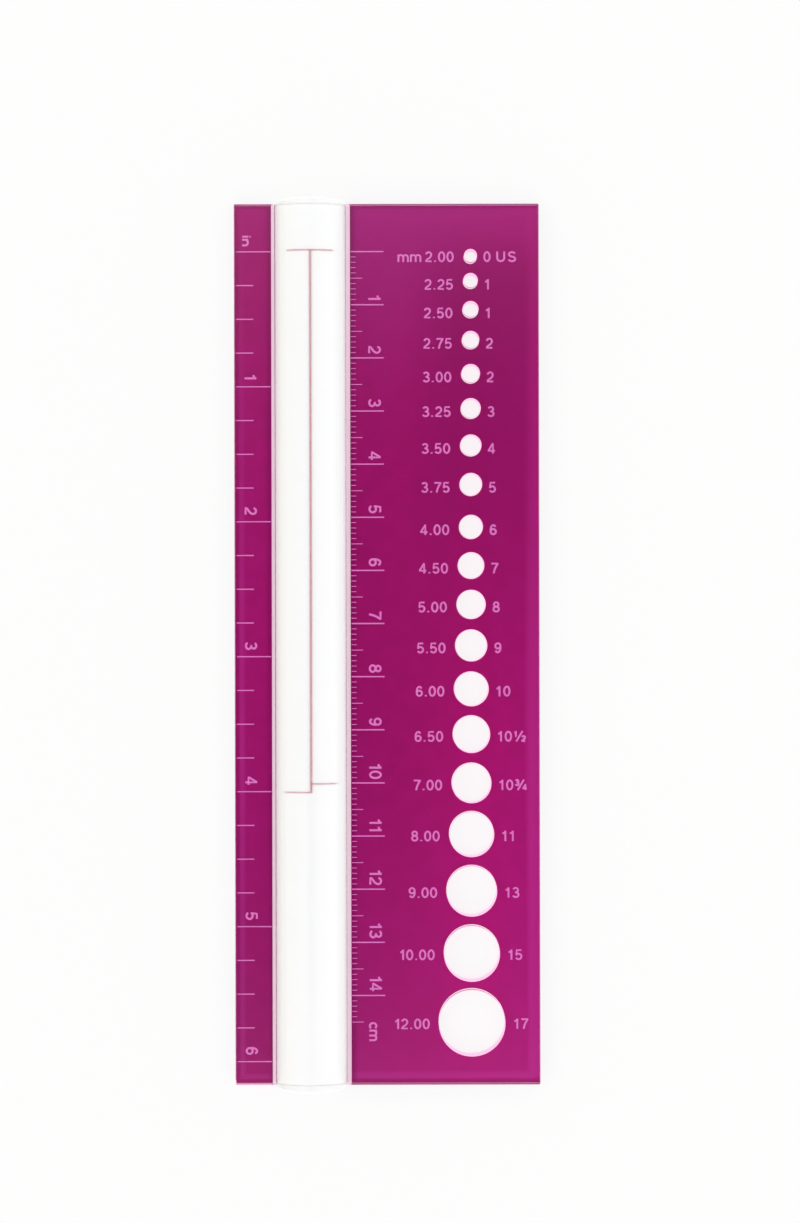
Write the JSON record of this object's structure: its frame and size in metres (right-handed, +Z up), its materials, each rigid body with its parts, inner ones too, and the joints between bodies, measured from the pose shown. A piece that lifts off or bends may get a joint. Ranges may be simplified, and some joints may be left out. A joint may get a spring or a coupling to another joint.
{
  "type": "knitting needle gauge",
  "caption": "Flat clear ruler with a row of needle sizing holes, inch and centimetre scales and a half-round magnifier bar over a gauge line.",
  "frame": {"origin": "centre of the gauge's outline, on the table it lies on", "axes": "+Y along the gauge towards the end where both scales read zero, +X from the inch wing to the needle wing, +Z up out of the printed face's viewing side"},
  "size_m": [0.0572, 0.165, 0.0096],
  "materials": {
    "clear_acrylic": "polished clear cast acrylic, slightly blurred in the sawn edges",
    "magenta_ink": "opaque magenta print seen through the clear plate",
    "pale_ink": "pale pink print behind the magenta",
    "red_ink": "fine red print"
  },
  "bodies": {
    "root": {"lens_bar": "clear_acrylic", "inch_plate": "clear_acrylic", "needle_plate": "clear_acrylic", "inch_colour_film": "magenta_ink", "needle_colour_film": "magenta_ink", "inch_backing_film": "pale_ink", "needle_backing_film": "pale_ink", "gauge_line": "red_ink"}
  },
  "joints": []
}
